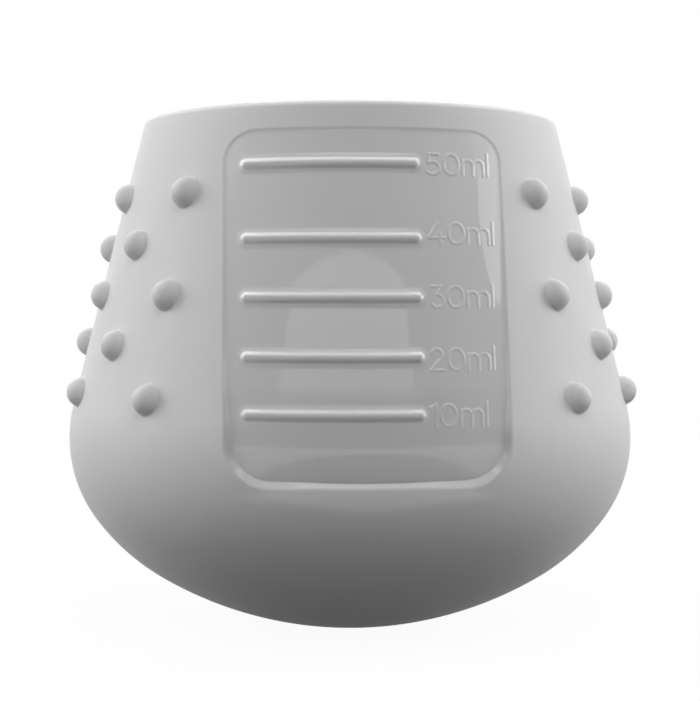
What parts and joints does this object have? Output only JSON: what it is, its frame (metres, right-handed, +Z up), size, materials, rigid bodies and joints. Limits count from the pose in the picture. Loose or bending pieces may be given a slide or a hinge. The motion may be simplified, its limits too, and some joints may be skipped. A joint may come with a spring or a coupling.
{
  "type": "training cup",
  "caption": "Small weighted training cup with a tapering wall, a round bowl bottom, staggered grip bumps on both sides and a recessed graduated window at the front.",
  "frame": {"origin": "centre of the flat foot, on the table", "axes": "+Z up along the cup's axis, -Y out of the front through the middle of the window, +X to the right of someone who looks at the window"},
  "size_m": [0.0604, 0.0602, 0.0536],
  "materials": {
    "sleeve_silicone": "matt pale grey silicone",
    "liner_silicone": "glossy pale grey silicone",
    "weight_silicone": "matt dark grey filled silicone"
  },
  "bodies": {
    "root": {"outer_sleeve": "sleeve_silicone", "inner_cup": "liner_silicone", "base_weight": "weight_silicone"}
  },
  "joints": []
}
